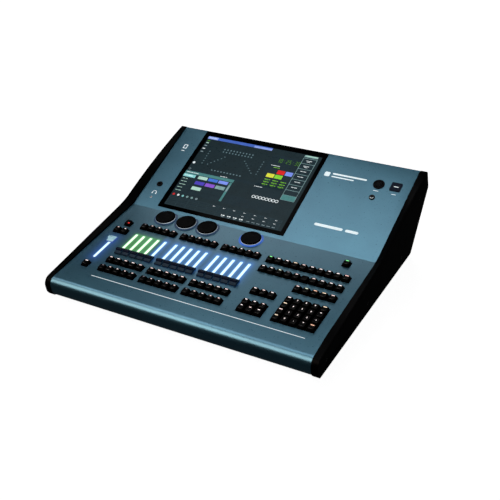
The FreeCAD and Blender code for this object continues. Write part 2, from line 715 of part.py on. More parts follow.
def make_power_supply():
    """A boxed supply fixed to the rear panel, in one piece with the mains inlet that shows outside."""
    body = new_body("power_supply", on_rear(*MAINS_INLET))
    inner_face = -size("pan_sheet") - 0.6
    block(body, -60.0, -40.0, inner_face - 36.0, 120.0, 80.0, 36.0, 2.0)
    block(body, -13.8, -10.8, inner_face, 27.6, 21.6, -inner_face, 3.0)
    flange = new_sketch(body, "XY_Plane", lift(0.1))
    draw_rectangle(flange, 0, 0, 36.0, 28.0, 3.0)
    pad(body, flange, "2")
    joiner = new_sketch(body, "XY_Plane", lift(0))
    draw_rectangle(joiner, 0, 0, 27.6, 21.6, 3.0)
    pad(body, joiner, "0.1")
    mouth = new_sketch(body, "XY_Plane", lift(2.1))
    draw_rectangle(mouth, 0, 0, 24.4, 16.6, 3.0)
    pocket(body, mouth, "17")
    pins = new_sketch(body, "XY_Plane", lift(-14.9))
    for x, y in ((-7.0, -1.5), (0.0, 3.0), (7.0, -1.5)):
        draw_rectangle(pins, x, y, 2.0, 4.0)
    pad(body, pins, "10")


# ---- sockets, button and feet ------------------------------------------------------------------------

def make_headphone_sockets():
    """A bracket under the panel and the two sockets that it holds, each with its own neck and bore."""
    body = new_body("headphone_sockets", SCREEN)
    plate_top, plate = -size("sheet") - 0.2, 1.5
    seat = plate_top - plate - 0.2
    bracket = new_sketch(body, "XY_Plane", lift(plate_top))
    draw_rectangle(bracket, JACK[0], MINI_JACK[1] + 22, 24.0, 64.0)
    draw_circle(bracket, *JACK, 5.9)
    draw_circle(bracket, *MINI_JACK, 2.9)
    pad(body, bracket, str(plate), reverse=True)
    for (u, w), half, deep in ((JACK, 8, 30.3), (MINI_JACK, 5, 13.3)):
        block(body, u - half, w - half, seat - deep, 2 * half, 2 * half, deep)
    neck = new_sketch(body, "XY_Plane", lift(seat))
    draw_circle(neck, *JACK, 5.6)
    pad(body, neck, "sheet + 2.9")
    small_neck = new_sketch(body, "XY_Plane", lift(seat))
    draw_circle(small_neck, *MINI_JACK, 2.6)
    pad(body, small_neck, "sheet + 1.7")
    nut = new_sketch(body, "XY_Plane", lift(0.1))
    draw_circle(nut, *JACK, 7.4)
    pad(body, nut, "1.6")
    drill(body, *JACK, 2.0, size("jack_bore"), size("jack_depth"))
    drill(body, *MINI_JACK, 0.0, size("mini_jack_bore"), 15)


def make_round_socket(body, pins, mouth_depth):
    """A round multi-pin socket: a core with pin holes inside a ring-shaped gap for the plug's shell."""
    gap = new_sketch(body, "XY_Plane", lift(2.0))
    draw_circle(gap, 0, 0, 9.6)
    draw_circle(gap, 0, 0, 7.7)
    pocket(body, gap, str(mouth_depth))
    holes = new_sketch(body, "XY_Plane", lift(2.0))
    for index in range(pins):
        turn = 2 * math.pi * index / pins
        draw_circle(holes, 4.2 * math.cos(turn), 4.2 * math.sin(turn), 1.2)
    pocket(body, holes, str(mouth_depth))


def make_lamp_socket():
    body = new_body("lamp_socket", shifted(SCREEN, *LAMP))
    barrel = new_sketch(body, "XY_Plane", lift(-22.0))
    draw_circle(barrel, 0, 0, 11.7)
    pad(body, barrel, "22.1")
    flange = new_sketch(body, "XY_Plane", lift(0.1))
    draw_circle(flange, 0, 0, size("lamp_radius"))
    pad(body, flange, "1.4")
    make_round_socket(body, 4, 14.0)


def make_output_sockets():
    """Two identical round data sockets on the rear panel, each with a square flange."""
    first = OUTPUT_SOCKETS[0]
    body = new_body("output_sockets", on_rear(*first))
    step = OUTPUT_SOCKETS[1][0] - first[0]
    barrel = new_sketch(body, "XY_Plane", lift(-20.0))
    flange = new_sketch(body, "XY_Plane", lift(0.1))
    gap = new_sketch(body, "XY_Plane", lift(2.0))
    holes = new_sketch(body, "XY_Plane", lift(2.0))
    for shift in (0.0, -step):
        draw_circle(barrel, shift, 0, 10.7)
        draw_rectangle(flange, shift, 0, 26.0, 31.0, 2.0)
        draw_circle(gap, shift, 0, 9.6)
        draw_circle(gap, shift, 0, 7.7)
        for index in range(5):
            turn = 2 * math.pi * index / 5
            draw_circle(holes, shift + 4.2 * math.cos(turn), 4.2 * math.sin(turn), 1.2)
    pad(body, barrel, "20.1")
    pad(body, flange, "1.9")
    pocket(body, gap, "12")
    pocket(body, holes, "12")


def make_usb_socket():
    """A square-flanged data socket with a flat tongue in its mouth."""
    body = new_body("usb_socket", shifted(SCREEN, *USB))
    block(body, -10.0, -10.0, -22.0, 20.0, 20.0, 22.1, 1.5)
    flange = new_sketch(body, "XY_Plane", lift(0.1))
    draw_rectangle(flange, 0, 0, size("usb_flange"), size("usb_flange"), 2.0)
    pad(body, flange, "1.6")
    mouth = new_sketch(body, "XY_Plane", lift(1.7))
    draw_rectangle(mouth, 0, 0, 13.2, 5.8, 0.4)
    pocket(body, mouth, "16")
    tongue = new_sketch(body, "XY_Plane", lift(-14.3))
    draw_rectangle(tongue, 0, 1.2, 11.0, 1.8)
    pad(body, tongue, "14")


def make_power_button():
    body = new_body("power_button", shifted(SCREEN, *BUTTON))
    r = size("button_radius")
    revolve(body, (0, -7.0), [
        (r, -7.0), (r, 1.6), ((r - 0.25, 2.2), (r - 0.8, 2.5)), (r - 1.4, 2.0), (0, 2.0)])


def make_feet():
    """Four rubber feet under the tray, each with a slight taper."""
    x, y = 250.0, 40.0
    body = new_body("rubber_feet", FreeCAD.Placement(V(-x, size("bend_back") + y, 0), FreeCAD.Rotation()))
    r, tall = size("foot_radius"), size("foot_height")
    foot = revolve(body, (0, 0), [(r - 1.0, 0), (r, tall), (0, tall)])
    axes = new_sketch(body, "XY_Plane")
    pattern(body, [foot], axes, 2, str(2 * x), rows=2, row_spacing="370")


# ---- the whole desk ----------------------------------------------------------------------------------

make_lower_panel()
make_screen_panel()
make_cheek("left_cheek", -1)
make_cheek("right_cheek", 1)
make_cheek_screws()
make_base_pan()
make_rear_panel()
make_touch_glass()
make_display_module()
for bank_name, bank_left, bank_front, bank_columns, bank_rows in KEY_BANKS:
    make_key_bank(bank_name, bank_left, bank_front, bank_columns, bank_rows)
playback_rest = slot_centre(size("playback_slot_front")) - size("fader_travel") / 2
for number in range(BANKS * FADERS_PER_BANK):
    make_fader_cap(f"playback_fader_{number + 1:02d}", fader_left(number), playback_rest)
master_rest = slot_centre(size("master_slot_front")) + size("fader_travel") / 2
make_fader_cap("master_fader", size("master_left"), master_rest)
make_fader_tracks()
make_fader_light_guides()
for number, wheel_left in enumerate(WHEEL_LEFT, start=1):
    make_wheel(f"wheel_{number}", wheel_left)
make_light_rings()
make_control_board()
make_main_board()
make_power_supply()
make_headphone_sockets()
make_lamp_socket()
make_output_sockets()
make_usb_socket()
make_power_button()
make_feet()

doc.recompute()
for item in doc.Objects:
    if "Invalid" in item.State or "Error" in item.State:
        raise RuntimeError(f"{item.Label}: {item.State}")
for part in parts:
    if part.Shape.isNull() or not part.Shape.isValid():
        raise RuntimeError(f"{part.Label}: its shape is null or not valid")

os.makedirs("parts", exist_ok=True)
for part in parts:
    part.Shape.exportStep(f"parts/{part.Label}.step")
    box = part.Shape.BoundBox
    print(f"{part.Label}: {len(part.Shape.Solids)} solids, {part.Shape.Volume:.0f} mm3, "
          f"x {box.XMin:.1f} {box.XMax:.1f}, y {box.YMin:.1f} {box.YMax:.1f}, z {box.ZMin:.1f} {box.ZMax:.1f}")
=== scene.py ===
import json
import math

import bmesh
import bpy
from mathutils import Euler, Matrix, Vector


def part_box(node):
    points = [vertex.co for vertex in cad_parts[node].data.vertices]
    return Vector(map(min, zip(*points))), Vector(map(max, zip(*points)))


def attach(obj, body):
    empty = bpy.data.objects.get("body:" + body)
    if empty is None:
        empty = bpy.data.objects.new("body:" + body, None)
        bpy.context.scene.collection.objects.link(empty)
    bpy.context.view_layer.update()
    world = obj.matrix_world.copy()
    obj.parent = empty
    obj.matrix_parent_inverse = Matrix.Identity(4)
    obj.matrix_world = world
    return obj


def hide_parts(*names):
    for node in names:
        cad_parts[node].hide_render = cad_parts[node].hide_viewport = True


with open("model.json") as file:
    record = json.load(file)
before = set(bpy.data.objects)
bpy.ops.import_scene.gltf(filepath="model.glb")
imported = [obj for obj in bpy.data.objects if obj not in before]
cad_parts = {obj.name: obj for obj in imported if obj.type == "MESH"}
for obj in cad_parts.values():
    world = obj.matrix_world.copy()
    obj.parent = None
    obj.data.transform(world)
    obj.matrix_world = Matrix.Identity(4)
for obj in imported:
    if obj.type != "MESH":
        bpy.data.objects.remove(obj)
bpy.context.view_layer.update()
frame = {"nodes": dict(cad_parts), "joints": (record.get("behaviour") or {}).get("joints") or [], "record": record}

# ---- the desk's own frames ---------------------------------------------------------------------------
# LOWER and SCREEN turn millimetres on a panel (u to the right, v up its slope, h out of its face) into
# metres in the row frame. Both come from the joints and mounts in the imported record.

JOINTS = {joint["name"]: joint for joint in frame["joints"]}
MOUNTS = {mount["name"]: mount for mount in frame["record"]["mounts"]}
X_AXIS = Vector((1, 0, 0))


def panel_frame(normal, known, u, v, h):
    """The frame of a panel with this normal, on which the known point has the given u, v and h."""
    normal = Vector(normal).normalized()
    along = normal.cross(X_AXIS).normalized()
    origin = Vector(known) - (X_AXIS * u + along * v + normal * h) / 1000
    turn = Matrix((X_AXIS, along, normal)).transposed().to_4x4()
    return Matrix.Translation(origin) @ turn @ Matrix.Scale(0.001, 4)


WHEEL_JOINT = JOINTS["wheel_1_turn"]
PHONES = MOUNTS["headphone_socket"]
JACK, MINI_JACK = (32.5, 73.0), (32.5, 31.0)     # u and v of the two headphone sockets
LOWER = panel_frame(WHEEL_JOINT["axis"], WHEEL_JOINT["pos_m"], 107.8, 268.5, 0.0)
SCREEN = panel_frame(PHONES["axis"], PHONES["pos_m"], *JACK, -14.15)


def local_box(node, place):
    """The lowest and highest corner of a CAD node in a panel's own millimetres."""
    back = place.inverted()
    points = [back @ vertex.co for vertex in frame["nodes"][node].data.vertices]
    low = Vector(min(point[i] for point in points) for i in range(3))
    high = Vector(max(point[i] for point in points) for i in range(3))
    return low, high


def middle(node, place):
    """The middle of a CAD node in a panel's own millimetres, as u and v."""
    low, high = local_box(node, place)
    return (low.x + high.x) / 2, (low.y + high.y) / 2


FIRST_FADER, FADER_FRONT = middle("playback_fader_01", LOWER)
FADER_PITCH = middle("playback_fader_02", LOWER)[0] - FIRST_FADER
BANK_PITCH = middle("playback_fader_06", LOWER)[0] - FIRST_FADER
MASTER_FADER, MASTER_BACK = middle("master_fader", LOWER)
TRAVEL = JOINTS["playback_fader_01_slide"]["range_m"][1] * 1000
SLOT_LIGHT = 72.0        # length of the lit strip in a slot
GREEN_FADERS = 4
USB_MIDDLE, BUTTON_MIDDLE = middle("usb_socket", SCREEN), middle("power_button", SCREEN)
LAMP_MIDDLE = middle("lamp_socket", SCREEN)
DIMPLE_OFFSET, DIMPLE_RADIUS = 12.5, 6.5


# ---- materials ---------------------------------------------------------------------------------------

class Nodes:
    """A short way to wire one material's nodes. Numbers and sockets can be mixed as inputs."""

    def __init__(self, name):
        self.material = bpy.data.materials.new(name)
        self.material.use_nodes = True
        self.tree = self.material.node_tree
        self.shader = self.tree.nodes["Principled BSDF"]
        self.where = self.add("ShaderNodeTexCoord").outputs["Object"]

    def add(self, kind, **settings):
        node = self.tree.nodes.new(kind)
        for key, value in settings.items():
            setattr(node, key, value)
        return node

    def put(self, socket, value):
        if isinstance(value, bpy.types.NodeSocket):
            self.tree.links.new(value, socket)
        else:
            socket.default_value = value

    def math(self, operation, *values):
        node = self.add("ShaderNodeMath", operation=operation)
        for socket, value in zip(node.inputs, values):
            self.put(socket, value)
        return node.outputs[0]

    def dot(self, vector, direction):
        node = self.add("ShaderNodeVectorMath", operation="DOT_PRODUCT")
        self.put(node.inputs[0], vector)
        node.inputs[1].default_value = direction
        return node.outputs["Value"]

    def scaled(self, colour, amount):
        node = self.add("ShaderNodeVectorMath", operation="SCALE")
        self.put(node.inputs[0], colour)
        self.put(node.inputs["Scale"], amount)
        return node.outputs[0]

    def sum(self, first, second):
        node = self.add("ShaderNodeVectorMath", operation="ADD")
        self.put(node.inputs[0], first)
        self.put(node.inputs[1], second)
        return node.outputs[0]

    def noise(self, scale, detail=3.0, roughness=0.55, stretch=None):
        vector = self.where
        if stretch is not None:
            mapping = self.add("ShaderNodeMapping")
            self.put(mapping.inputs["Vector"], vector)
            mapping.inputs["Scale"].default_value = stretch
            vector = mapping.outputs[0]
        node = self.add("ShaderNodeTexNoise")
        self.put(node.inputs["Vector"], vector)
        node.inputs["Scale"].default_value = scale
        node.inputs["Detail"].default_value = detail
        node.inputs["Roughness"].default_value = roughness
        return node.outputs["Fac"]

    def ramp(self, value, low, high, out_low, out_high):
        node = self.add("ShaderNodeMapRange")
        self.put(node.inputs["Value"], value)
        for key, amount in zip(("From Min", "From Max", "To Min", "To Max"), (low, high, out_low, out_high)):
            node.inputs[key].default_value = amount
        return node.outputs[0]

    def blend(self, factor, first, second):
        node = self.add("ShaderNodeMix", data_type="RGBA")
        self.put(node.inputs["Factor"], factor)
        self.put(node.inputs[6], first)
        self.put(node.inputs[7], second)
        return node.outputs[2]

    def bump(self, height, strength, distance):
        node = self.add("ShaderNodeBump")
        node.inputs["Strength"].default_value = strength
        node.inputs["Distance"].default_value = distance
        self.put(node.inputs["Height"], height)
        self.put(self.shader.inputs["Normal"], node.outputs[0])


def tinted(colour, factor):
    return tuple(min(1.0, part * factor) for part in colour) + (1.0,)


def surface(name, colour, roughness, grain=900.0, mottle=0.15, relief=0.00004, metallic=0.0,
            specular=0.5, coat=0.0, stretch=None, spread=0.08):
    """A material with mottled colour, uneven gloss and a fine relief."""
    made = Nodes(name)
    fine = made.noise(grain, 4.0, stretch=stretch)
    broad = made.noise(grain / 40, 3.0)
    tone = made.math("ADD", made.math("MULTIPLY", fine, 0.5), made.math("MULTIPLY", broad, 0.5))
    level = made.ramp(tone, 0.3, 0.7, 0.0, 1.0)
    made.put(made.shader.inputs["Base Color"],
             made.blend(level, tinted(colour, 1 - mottle), tinted(colour, 1 + mottle)))
    made.put(made.shader.inputs["Roughness"],
             made.ramp(broad, 0.3, 0.7, max(0.05, roughness - spread), min(1.0, roughness + spread)))
    made.shader.inputs["Metallic"].default_value = metallic
    made.shader.inputs["Specular IOR Level"].default_value = specular
    made.shader.inputs["Coat Weight"].default_value = coat
    made.shader.inputs["Coat Roughness"].default_value = 0.12
    made.bump(fine, 0.5, relief)
    return made.material


def lit(name, colour, strength, specular=0.1, unevenness=0.12, scale=160.0):
    """A surface that glows, a little unevenly, like a printed or moulded shape with a lamp behind it. The fader
    caps, the wheels' rims, white print and the button's arc have no lamp, so on them the glow is painted light.
    """
    made = Nodes(name)
    patch = made.ramp(made.noise(scale, 2.0), 0.3, 0.7, 1 - unevenness, 1 + unevenness)
    made.put(made.shader.inputs["Emission Color"], made.scaled(colour, patch))
    made.shader.inputs["Emission Strength"].default_value = strength
    made.shader.inputs["Base Color"].default_value = tinted(colour, 0.25)
    made.put(made.shader.inputs["Roughness"], made.ramp(made.noise(scale * 4, 2.0), 0.3, 0.7, 0.25, 0.4))
    made.shader.inputs["Specular IOR Level"].default_value = specular
    return made.material


GLOW_GREEN, GLOW_BLUE = (0.075, 0.30, 0.0), (0.020, 0.110, 0.46)
GLOW_MASTER, GLOW_RIM = (0.015, 0.05, 0.28), (0.42, 0.70, 0.72)
DARK_PAINT, PALE_PAINT = (0.036, 0.158, 0.240, 1), (0.050, 0.198, 0.290, 1)


def panel_paint():
    """Slate-blue metallic paint, with the light that spills on it from the fader slots."""
    made = Nodes("panel_paint")
    origin = LOWER.translation
    slope = LOWER.to_3x3().col[1].normalized()
    u = made.math("MULTIPLY", made.math("SUBTRACT", made.dot(made.where, X_AXIS), origin.x), 1000.0)
    v = made.math("MULTIPLY", made.math("SUBTRACT", made.dot(made.where, slope), origin.dot(slope)), 1000.0)

    def slot_distance(across, low, high):
        """How far a point is from a slot that runs along v between low and high."""
        ahead = made.math("SUBTRACT", low, v)
        beyond = made.math("SUBTRACT", v, high)
        along = made.math("MAXIMUM", made.math("MAXIMUM", ahead, beyond), 0.0)
        square = made.math("ADD", made.math("MULTIPLY", across, across), made.math("MULTIPLY", along, along))
        return made.math("SQRT", square)

    def glow(distance, reach):
        """Full light up to the edge of the slot, and less and less beyond it."""
        past = made.math("MAXIMUM", made.math("SUBTRACT", distance, 2.8), 0.0)
        return made.math("EXPONENT", made.math("DIVIDE", past, -reach))

    # which fader slot is nearest, and how far off it is
    bank_left = FIRST_FADER - (BANK_PITCH - 4 * FADER_PITCH) / 2
    bank = made.math("FLOOR", made.math("DIVIDE", made.math("SUBTRACT", u, bank_left), BANK_PITCH))
    bank = made.math("MINIMUM", made.math("MAXIMUM", bank, 0.0), 2.0)
    bank_start = made.math("MULTIPLY", bank, BANK_PITCH)
    inside = made.math("SUBTRACT", made.math("SUBTRACT", u, FIRST_FADER), bank_start)
    index = made.math("ROUND", made.math("DIVIDE", inside, FADER_PITCH))
    index = made.math("MINIMUM", made.math("MAXIMUM", index, 0.0), 4.0)
    across = made.math("SUBTRACT", inside, made.math("MULTIPLY", index, FADER_PITCH))
    ends = FADER_FRONT + 9.0, FADER_FRONT + 64.0
    near = slot_distance(across, *ends)
    # the four green ones shine over a wider patch than the blue ones
    is_green = made.math("LESS_THAN", u, FIRST_FADER + 3.5 * FADER_PITCH)
    green_middle = FIRST_FADER + 1.5 * FADER_PITCH
    from_middle = made.math("ABSOLUTE", made.math("SUBTRACT", u, green_middle))
    beside = made.math("SUBTRACT", from_middle, 1.5 * FADER_PITCH)
    past_bank = glow(slot_distance(made.math("MAXIMUM", beside, 0.0), *ends), 4.0)
    green = made.math("MULTIPLY", made.math("MULTIPLY", glow(near, 11.0), past_bank), is_green)
    blue = made.math("MULTIPLY", glow(near, 6.0), made.math("SUBTRACT", 1.0, is_green))
    beside_master = made.math("SUBTRACT", u, MASTER_FADER)
    from_master = slot_distance(beside_master, MASTER_BACK - 62.5, MASTER_BACK + 3.5)
    master = glow(from_master, 9.0)
    rim = glow(made.math("MINIMUM", near, from_master), 0.6)
    light = made.scaled(GLOW_MASTER, master)
    for colour, amount in ((GLOW_BLUE, blue), (GLOW_GREEN, green), (GLOW_RIM, rim)):
        light = made.sum(light, made.scaled(colour, amount))
    made.put(made.shader.inputs["Emission Color"], light)
    made.shader.inputs["Emission Strength"].default_value = 1.0

    flake = made.add("ShaderNodeTexVoronoi")
    made.put(flake.inputs["Vector"], made.where)
    flake.inputs["Scale"].default_value = 2600.0
    speck = made.ramp(flake.outputs["Distance"], 0.0, 0.6, 1.0, 0.0)
    cloud = made.noise(14.0, 3.0)
    wear = made.noise(240.0, 5.0, 0.7)
    shade = made.math("ADD", made.math("MULTIPLY", cloud, 0.9), made.math("MULTIPLY", speck, 0.1))
    made.put(made.shader.inputs["Base Color"],
             made.blend(made.ramp(shade, 0.3, 0.75, 0.0, 1.0), DARK_PAINT, PALE_PAINT))
    made.put(made.shader.inputs["Roughness"], made.ramp(wear, 0.3, 0.75, 0.26, 0.36))
    made.shader.inputs["Metallic"].default_value = 0.35
    made.shader.inputs["Specular IOR Level"].default_value = 0.4
    made.shader.inputs["Coat Weight"].default_value = 0.12
    made.shader.inputs["Coat Roughness"].default_value = 0.2
    made.bump(made.math("ADD", wear, made.math("MULTIPLY", speck, 0.3)), 0.25, 0.00003)
    return made.material


def fine_brush(name, colour, roughness):
    return surface(name, colour, roughness, 500.0, 0.2, 0.00002, metallic=1.0, stretch=(1.0, 14.0, 14.0))


PAINT = panel_paint()
CHEEK = surface("cheek_black", (0.0018, 0.0018, 0.0021), 0.40, 1400.0, 0.3, 0.00002,
                specular=0.012, spread=0.03)
POWDER = surface("powder_black", (0.032, 0.033, 0.036), 0.5, 1800.0, 0.3, 0.00012, specular=0.5)
ZINC = fine_brush("black_zinc", (0.03, 0.03, 0.032), 0.34)
STEEL = fine_brush("socket_steel", (0.40, 0.42, 0.45), 0.3)
BARE = fine_brush("bare_sheet", (0.50, 0.51, 0.54), 0.38)
KEY = surface("key_plastic", (0.0016, 0.0014, 0.0020), 0.36, 2400.0, 0.35, 0.00004, specular=0.02)
SOCKET = surface("socket_plastic", (0.003, 0.004, 0.006), 0.42, 1500.0, 0.3, specular=0.03)
SOCKET_BLUE = surface("socket_navy", (0.006, 0.018, 0.050), 0.40, 1500.0, 0.3, specular=0.05)
BUTTON = surface("button_plastic", (0.006, 0.008, 0.012), 0.38, 1500.0, 0.3, specular=0.06)
RUBBER = surface("foot_rubber", (0.012, 0.012, 0.012), 0.85, 900.0, 0.3, 0.0001, specular=0.25)
BOARD = surface("board_green", (0.015, 0.11, 0.045), 0.4, 500.0, 0.3, specular=0.5)
GLASS = surface("glass_border", (0.0020, 0.0025, 0.003), 0.10, 200.0, 0.2, 0.0,
                specular=0.008, spread=0.02)
WHEEL = surface("wheel_rubber", (0.0014, 0.0014, 0.0018), 0.42, 1600.0, 0.3, 0.00004, specular=0.012)
# The playback caps' three tones are lit and shaded copies of one smoked plastic: the lighter skirt is a painted
# highlight and the darker top is painted shade. The caps have no lamp, so their faint glow is painted light.
CAP_SMOKE = lit("cap_smoke", (0.004, 0.011, 0.022), 0.6, 0.04, 0.4, 700.0)
CAP_HIGHLIGHT_AND_LINE = lit("cap_skirt", (0.008, 0.024, 0.044), 0.6, 0.04, 0.4, 700.0)
CAP_TOP_SHADE = lit("cap_top_shade", (0.001, 0.003, 0.014), 0.6, 0.04, 0.4, 700.0)
# The master cap's pale colour glows as painted light, and its dark blue foot is a painted shadow under the cap
# with a painted blue glow in it.
CAP_PALE = lit("cap_pale", (0.30, 0.52, 0.60), 0.9, 0.2, 0.1, 300.0)
CAP_PALE_FOOT_SHADE = lit("cap_pale_foot_shade", (0.06, 0.12, 0.40), 0.8, 0.2, 0.2, 300.0)
RING = lit("ring_guide", (0.02, 0.05, 0.10), 0.9, unevenness=0.25, scale=60.0)
RING_BLUE = lit("ring_guide_blue", (0.04, 0.13, 0.50), 1.0, unevenness=0.3, scale=60.0)
# The wheels' rim band has no lamp: its pale glow is a painted highlight on the side wall.
RIM_HIGHLIGHT = lit("wheel_rim_highlight", (0.62, 0.70, 0.76), 0.8, unevenness=0.5, scale=50.0)
GUIDE_GREEN = lit("slot_green", (0.84, 1.0, 0.74), 1.3)
GUIDE_BLUE = lit("slot_blue", (0.70, 0.90, 1.0), 1.25)
# White print and small white details glow with no lamp behind them: the white is their own colour, and the glow is
# painted light.
WHITE_GLOW = lit("white_print_glow", (0.80, 0.92, 0.96), 0.95, unevenness=0.06)

LAMPS_AND_HIGHLIGHT = {
    "W": lit("legend_white", (1.0, 0.88, 0.86), 1.4),
    "P": lit("legend_pink", (1.0, 0.76, 0.72), 1.3),
    "C": lit("legend_cream", (1.0, 0.80, 0.58), 1.3),
    "O": lit("legend_orange", (1.0, 0.56, 0.38), 1.3),
    "R": lit("legend_rose", (1.0, 0.60, 0.54), 1.3),
    "Y": lit("legend_lime", (0.88, 0.95, 0.72), 1.2),
    "F": lit("legend_fire", (0.85, 0.03, 0.02), 1.0),
    "G": lit("legend_green", (0.26, 1.0, 0.34), 1.3),
    "D": lit("legend_dim", (0.30, 0.27, 0.30), 0.8),
    # S is no lamp: the grey line near the front of each key's top is a painted highlight.
    "S": surface("key_front_highlight", (0.035, 0.032, 0.035), 0.35, 1200.0, 0.2, specular=0.4),
}


# ---- mesh building -----------------------------------------------------------------------------------

def rounded(half_x, half_y, radius, steps=4):
    """Points of a rounded rectangle round the origin, anticlockwise from its right side."""
    points = []
    for quarter, (side_x, side_y) in enumerate(((1, 1), (-1, 1), (-1, -1), (1, -1))):
        for step in range(steps + 1):
            angle = math.pi / 2 * (quarter + step / steps)
            points.append((side_x * (half_x - radius) + radius * math.cos(angle),
                           side_y * (half_y - radius) + radius * math.sin(angle)))
    return points


class Shape:
    """One piece under construction, in millimetres of a panel's frame."""

    def __init__(self, name, place, materials):
        self.name, self.place, self.materials = name, place, list(materials)
        self.mesh = bmesh.new()

    def index(self, material):
        if material not in self.materials:
            self.materials.append(material)
        return self.materials.index(material)

    def skin(self, rings, material, top=True, bottom=False):
        """Closed rings of equally many points joined in turn, with a face on the first or last one."""
        slot = self.index(material)
        made = [[self.mesh.verts.new(point) for point in ring] for ring in rings]
        count = len(made[0])
        faces = []
        for low, high in zip(made, made[1:]):
            for k in range(count):
                n = (k + 1) % count
                faces.append(self.mesh.faces.new((low[k], low[n], high[n], high[k])))
        if top:
            faces.append(self.mesh.faces.new(made[-1]))
        if bottom:
            faces.append(self.mesh.faces.new(made[0][::-1]))
        for face in faces:
            face.material_index = slot
            face.smooth = True
        return made

    def slab(self, outline, low, high, material, shift=(0.0, 0.0)):
        """A flat shape with straight sides, given by its outline."""
        points = [(x + shift[0], y + shift[1]) for x, y in outline]
        for face in self.skin([[(x, y, low) for x, y in points], [(x, y, high) for x, y in points]],
                              material)[0][0].link_faces:
            face.smooth = False

    def bar(self, u, v, width, depth, low, high, material, radius=None):
        radius = min(width, depth) * 0.3 if radius is None else radius
        self.slab(rounded(width / 2, depth / 2, radius, 3), low, high, material, (u, v))

    def glyph(self, text, height, u, v, top, material):
        """A digit or sign laid flat on the panel."""
        curve = bpy.data.curves.new("sign", "FONT")
        curve.body, curve.size, curve.align_x, curve.align_y = text, height, "CENTER", "CENTER"
        curve.offset, curve.extrude, curve.resolution_u = height * 0.015, 0.05, 3
        sign = bpy.data.objects.new("sign", curve)
        flat = bpy.data.meshes.new_from_object(sign)
        flat.transform(Matrix.Translation((u, v, top)))
        before = len(self.mesh.faces)
        self.mesh.from_mesh(flat)
        self.mesh.faces.ensure_lookup_table()
        for face in self.mesh.faces[before:]:
            face.material_index = self.index(material)
        bpy.data.objects.remove(sign)
        bpy.data.curves.remove(curve)
        bpy.data.meshes.remove(flat)

    def done(self, body, slot, *replaced):
        data = bpy.data.meshes.new(self.name)
        self.mesh.normal_update()
        self.mesh.to_mesh(data)
        self.mesh.free()
        data.transform(self.place)
        for material in self.materials:
            data.materials.append(material)
        return settle(data, body, slot, *replaced)


def settle(data, body, slot, *replaced):
    """Put a finished mesh on its body, in the place of the CAD nodes that it stands for."""
    piece = bpy.data.objects.new(data.name, data)
    bpy.context.scene.collection.objects.link(piece)
    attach(piece, body)
    if replaced:
        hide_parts(*replaced)
    return piece


def polished(node, material, width=0.4, body="desk", crease=32.0):
    """A CAD node's shape as one clean mesh, with its sharp edges softly broken."""
    mesh = bmesh.new()
    mesh.from_mesh(frame["nodes"][node].data)
    bmesh.ops.remove_doubles(mesh, verts=mesh.verts, dist=1e-6)
    bmesh.ops.dissolve_limit(mesh, angle_limit=math.radians(0.6), verts=mesh.verts, edges=mesh.edges)
    data = bpy.data.meshes.new(node + "_look")
    mesh.to_mesh(data)
    mesh.free()
    data.materials.append(material)
    data.shade_smooth()
    slot = next(part["material_slot"] for part in frame["record"]["subparts"] if part["node"] == node)
    piece = settle(data, body, slot, node)
    if width:
        edge = piece.modifiers.new("edge", "BEVEL")
        edge.width, edge.segments, edge.limit_method = width / 1000, 2, "ANGLE"
        edge.angle_limit = math.radians(crease)
        edge.harden_normals = True
    data.set_sharp_from_angle(angle=math.radians(crease))
    return piece


# ---- keys --------------------------------------------------------------------------------------------

PITCH, ROW_PITCH, KEY_BASE = 19.05, 18.6, 17.8
CAP_RINGS = [   # height, half width, half depth, corner radius, shift to the rear, sag of the dish
    (-1.5, 8.8, 8.8, 1.2, 0.0, 0.0), (-0.6, 8.85, 8.85, 1.3, 0.0, 0.0), (2.6, 7.65, 7.85, 1.7, 0.3, 0.0),
    (5.4, 6.65, 7.0, 2.1, 0.55, 0.0), (6.0, 6.38, 6.78, 2.2, 0.6, 0.0), (6.28, 5.95, 6.4, 2.1, 0.6, 0.05),
    (6.3, 5.5, 6.0, 2.0, 0.6, 0.14), (6.3, 4.2, 5.0, 1.6, 0.6, 0.34), (6.3, 2.2, 3.0, 1.0, 0.6, 0.5)]


def keycap(shape, u, v):
    rings = []
    for height, half_x, half_y, radius, shift, sag in CAP_RINGS:
        rings.append([(u + x, v + y + shift, height - sag) for x, y in rounded(half_x, half_y, radius)])
    shape.skin(rings, KEY, bottom=True)


def legend(shape, u, v, sign):
    """A lit mark on a cap: a lamp's letter, then the width of its bar, or an underscore and a sign."""
    if sign == "":
        return
    if sign == "F":
        shape.bar(u + 4.0, v - 3.6, 4.4, 3.6, 5.7, 6.3, LAMPS_AND_HIGHLIGHT["F"], 0.9)
        return
    lamp, mark = LAMPS_AND_HIGHLIGHT[sign[0]], sign[1:]
    if mark[0] == "_":
        shape.glyph(mark[1:], 4.9, u, v + 1.6, 6.0, lamp)
        return
    width = float(mark)
    shape.bar(u, v + 5.1, width, 1.4, 5.7, 6.34, lamp, 0.5)
    # a grey line near the front of the cap's top, a painted highlight
    shape.bar(u, v - 4.6, 6.4, 0.5, 5.7, 6.13, LAMPS_AND_HIGHLIGHT["S"], 0.2)


